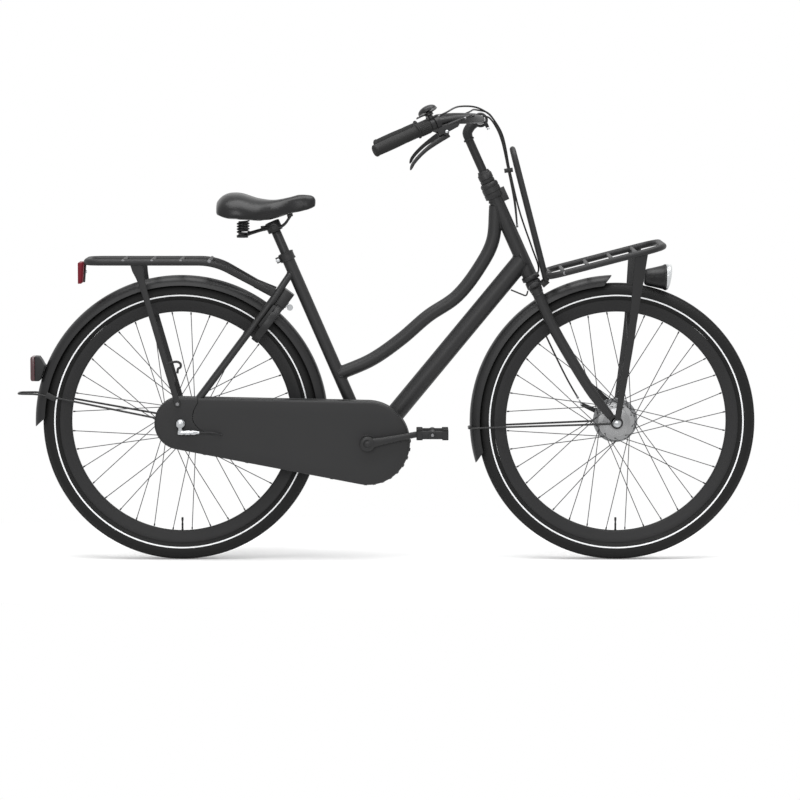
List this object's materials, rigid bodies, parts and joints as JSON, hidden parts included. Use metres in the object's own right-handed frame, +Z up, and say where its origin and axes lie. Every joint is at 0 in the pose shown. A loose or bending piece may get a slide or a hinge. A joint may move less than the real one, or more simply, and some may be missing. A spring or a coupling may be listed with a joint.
{
  "type": "city bicycle",
  "caption": "Black step-through city bicycle with front and rear luggage carriers, full chaincase, hub brakes, mudguards, sprung saddle and ring lock; it steers, rolls, pedals and brakes.",
  "frame": {"origin": "on the ground, under the middle of the whole bicycle, between the two wheels", "axes": "+X forward, +Y to the rider's left, +Z up"},
  "size_m": [1.9176, 0.6324, 1.1883],
  "materials": {
    "paint": "satin",
    "rim": "satin",
    "silver": "satin",
    "steel": "satin",
    "tyre": "matte",
    "rubber": "matte",
    "plastic": "matte",
    "leather": "matte",
    "red_lens": "gloss",
    "clear_lens": "gloss"
  },
  "bodies": {
    "frame": {"main_frame": "paint", "seat_clamp": "paint", "bottom_bracket": "steel", "chaincase_outer": "paint", "chaincase_flap": "paint", "chaincase_inner": "paint", "rear_mudguard": "paint", "rear_mudguard_stay": "paint", "rear_carrier": "paint", "rear_reflector": "red_lens", "rear_lamp_body": "plastic", "rear_lamp_lens": "red_lens", "rear_axle": "steel", "gear_changer": "silver", "rear_brake": "silver", "ring_lock_body": "paint", "chain": "steel", "steering_spring": "steel", "rear_brake_cable": "rubber", "gear_cable": "rubber"},
    "rear_wheel": {"rear_tyre": "tyre", "rear_rim": "rim", "rear_hub": "silver"},
    "sprocket": {"rear_sprocket": "steel"},
    "crank": {"crank_spindle": "steel", "chainring": "steel", "right_crank": "paint", "left_crank": "paint"},
    "pedal_right": {"right_pedal": "plastic"},
    "pedal_left": {"left_pedal": "plastic"},
    "steering": {"fork": "paint", "stem": "paint", "handlebar": "paint", "left_grip": "rubber", "right_grip": "rubber", "right_brake_bracket": "plastic", "left_brake_bracket": "plastic", "bell": "plastic", "front_carrier": "paint", "headlamp_body": "plastic", "headlamp_lens": "clear_lens", "front_brake_cable": "rubber", "front_axle": "steel", "front_brake": "silver", "front_mudguard": "paint", "front_mudguard_stay": "paint"},
    "front_wheel": {"front_tyre": "tyre", "front_rim": "rim", "front_hub": "silver"},
    "lever_right": {"right_brake_lever": "plastic"},
    "lever_left": {"left_brake_lever": "plastic"},
    "shifter": {"twist_shifter": "rubber"},
    "bell_thumb": {"bell_lever": "plastic"},
    "saddle_post": {"seatpost": "paint", "saddle_cover": "leather", "saddle_frame": "paint", "saddle_spring_left": "steel", "saddle_spring_right": "steel"},
    "lock_shackle": {"ring_lock_shackle": "steel"},
    "stand": {"side_stand": "paint"}
  },
  "joints": [
    {"name": "steering_turn", "type": "hinge", "parent": "frame", "child": "steering", "pos_m": [0.55239, 0, 0.3405], "axis": [-0.4099, 0, 0.9121], "range_deg": [-60, 60], "stiffness_Nm_per_rad": 9, "deforming": ["steering_spring", "rear_brake_cable", "gear_cable"]},
    {"name": "front_wheel_spin", "type": "hinge", "parent": "steering", "child": "front_wheel", "pos_m": [0.598, 0, 0.361], "axis": [0, 1, 0], "continuous": true},
    {"name": "rear_wheel_spin", "type": "hinge", "parent": "frame", "child": "rear_wheel", "pos_m": [-0.532, 0, 0.361], "axis": [0, 1, 0], "continuous": true},
    {"name": "crank_spin", "type": "hinge", "parent": "frame", "child": "crank", "pos_m": [-0.048, 0, 0.31], "axis": [0, 1, 0], "continuous": true},
    {"name": "sprocket_spin", "type": "hinge", "parent": "frame", "child": "sprocket", "pos_m": [-0.532, 0, 0.361], "axis": [0, 1, 0], "continuous": true},
    {"name": "right_pedal_spin", "type": "hinge", "parent": "crank", "child": "pedal_right", "pos_m": [0.11888, 0, 0.34244], "axis": [0, 1, 0], "continuous": true},
    {"name": "left_pedal_spin", "type": "hinge", "parent": "crank", "child": "pedal_left", "pos_m": [-0.21488, 0, 0.27756], "axis": [0, 1, 0], "continuous": true},
    {"name": "right_brake_squeeze", "type": "hinge", "parent": "steering", "child": "lever_right", "pos_m": [0.15281, -0.24317, 1.1162], "axis": [-0.2161, 0.9237, -0.3163], "range_deg": [0, 22], "stiffness_Nm_per_rad": 2},
    {"name": "left_brake_squeeze", "type": "hinge", "parent": "steering", "child": "lever_left", "pos_m": [0.15281, 0.24317, 1.1162], "axis": [0.2161, 0.9237, 0.3163], "range_deg": [0, 22], "stiffness_Nm_per_rad": 2},
    {"name": "shifter_twist", "type": "hinge", "parent": "steering", "child": "shifter", "pos_m": [-0.02495, -0.3, 1.07169], "axis": [-0.8597, -0.3336, -0.3868], "range_deg": [-35, 35]},
    {"name": "bell_thumb_push", "type": "hinge", "parent": "steering", "child": "bell_thumb", "pos_m": [0.11082, -0.23838, 1.15888], "axis": [-0.4627, 0.1883, 0.8663], "range_deg": [0, 25], "stiffness_Nm_per_rad": 0.1},
    {"name": "seatpost_slide", "type": "slide", "parent": "frame", "child": "saddle_post", "axis": [-0.4004, 0, 0.9164], "range_m": [-0.025, 0.09]},
    {"name": "lock_shackle_turn", "type": "hinge", "parent": "frame", "child": "lock_shackle", "pos_m": [-0.31092, 0, 0.61393], "axis": [-0.7998, 0, 0.6003], "range_deg": [0, 100]},
    {"name": "stand_swing", "type": "hinge", "parent": "frame", "child": "stand", "pos_m": [-0.142, 0.048, 0.306], "axis": [-0.0613, -0.9642, -0.2581], "range_deg": [0, 88]}
  ],
  "couplings": [
    {"joint": "sprocket_spin", "follows": "crank_spin", "ratio": 2}
  ]
}
